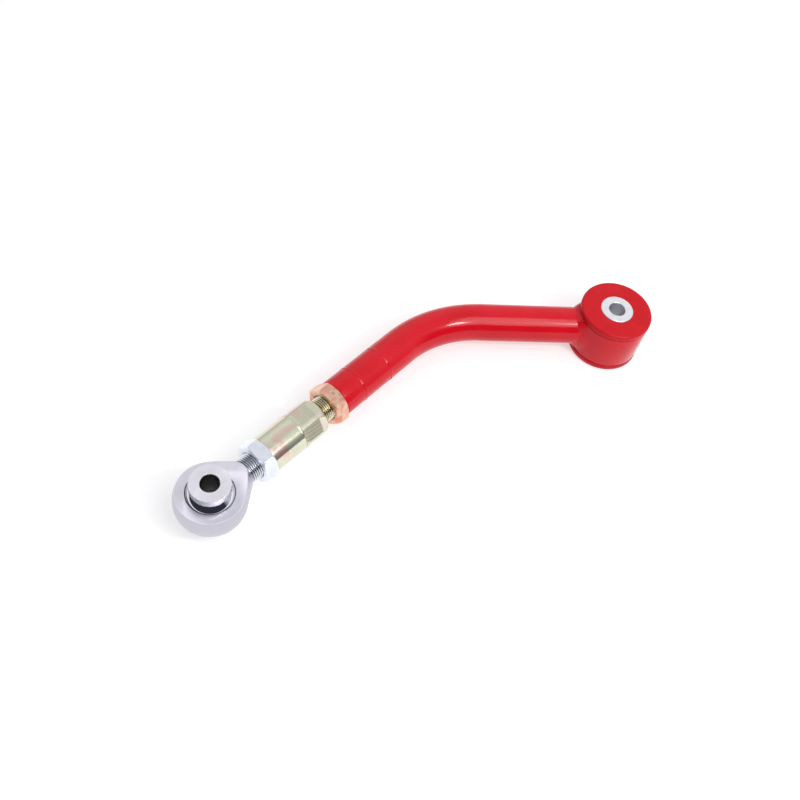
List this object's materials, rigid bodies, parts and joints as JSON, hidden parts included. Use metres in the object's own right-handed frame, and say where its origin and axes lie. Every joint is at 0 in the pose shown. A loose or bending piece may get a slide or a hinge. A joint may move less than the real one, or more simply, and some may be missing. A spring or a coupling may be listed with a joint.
{
  "type": "adjustable suspension control arm",
  "caption": "Bent tubular control arm with a flanged bushing eye at one end and a threaded double adjuster with a spherical rod end at the other.",
  "frame": {"origin": "centre of the bushing bore, halfway along the crush sleeve", "axes": "+Z along the bushing bolt; the rod end lies on the -X side and the tube bends out towards +Y"},
  "size_m": [0.3937, 0.0997, 0.0426],
  "materials": {
    "red_powder_coat": "gloss",
    "red_polyurethane": "satin",
    "sleeve_steel": "machined",
    "yellow_zinc_nut": "yellow zinc plate",
    "yellow_zinc_thread": "yellow zinc plate",
    "yellow_zinc_adjuster": "yellow zinc plate",
    "clear_zinc_nut": "clear zinc plate",
    "plated_alloy_steel": "satin",
    "bearing_liner": "matte",
    "polished_chrome": "polished",
    "turned_steel": "turned"
  },
  "bodies": {
    "arm": {"arm_tube": "red_powder_coat", "tube_insert": "red_powder_coat", "insert_weld": "red_powder_coat", "slot_welds": "red_powder_coat", "eye_shell": "red_powder_coat", "eye_weld": "red_powder_coat", "bushing_upper": "red_polyurethane", "bushing_lower": "red_polyurethane"},
    "bushing_sleeve": {"crush_sleeve": "sleeve_steel"},
    "stud": {"adjuster_stud": "yellow_zinc_thread"},
    "adjuster": {"adjuster_sleeve": "yellow_zinc_adjuster"},
    "arm_nut": {"arm_jam_nut": "yellow_zinc_nut"},
    "rod_end_nut": {"rod_end_jam_nut": "clear_zinc_nut"},
    "rod_end": {"rod_end_housing": "plated_alloy_steel", "race_liner": "bearing_liner"},
    "rod_end_ball": {"ball": "polished_chrome"},
    "spacers": {"spacer_upper": "turned_steel", "spacer_lower": "turned_steel"}
  },
  "joints": [
    {"name": "bushing_turn", "type": "hinge", "parent": "arm", "child": "bushing_sleeve", "pos_m": [0, 0, 0], "axis": [0, 0, 1], "continuous": true},
    {"name": "stud_advance", "type": "slide", "parent": "arm", "child": "stud", "axis": [-0.9578, -0.2874, 0], "range_m": [-0.00476, 0.00794]},
    {"name": "adjuster_turn", "type": "hinge", "parent": "stud", "child": "adjuster", "pos_m": [-0.2709, 0.02103, 0], "axis": [0.9578, 0.2874, 0], "range_deg": [-1080, 1800]},
    {"name": "rod_end_advance", "type": "slide", "parent": "arm", "child": "rod_end", "axis": [-0.9578, -0.2874, 0], "range_m": [-0.00953, 0.01588]},
    {"name": "arm_nut_back_off", "type": "slide", "parent": "arm", "child": "arm_nut", "axis": [-0.9578, -0.2874, 0], "range_m": [0, 0.00159]},
    {"name": "rod_end_nut_back_off", "type": "slide", "parent": "adjuster", "child": "rod_end_nut", "axis": [-0.9578, -0.2874, 0], "range_m": [0, 0.00159]},
    {"name": "ball_tilt", "type": "hinge", "parent": "rod_end", "child": "rod_end_ball", "pos_m": [-0.341, 0, 0], "axis": [0.9578, 0.2874, 0], "range_deg": [-15, 15]},
    {"name": "spacer_turn", "type": "hinge", "parent": "rod_end_ball", "child": "spacers", "pos_m": [-0.341, 0, 0], "axis": [0, 0, 1], "continuous": true}
  ],
  "couplings": [
    {"joint": "stud_advance", "follows": "adjuster_turn", "m_per_rad": 0.00025266},
    {"joint": "rod_end_advance", "follows": "adjuster_turn", "m_per_rad": 0.00050532}
  ]
}
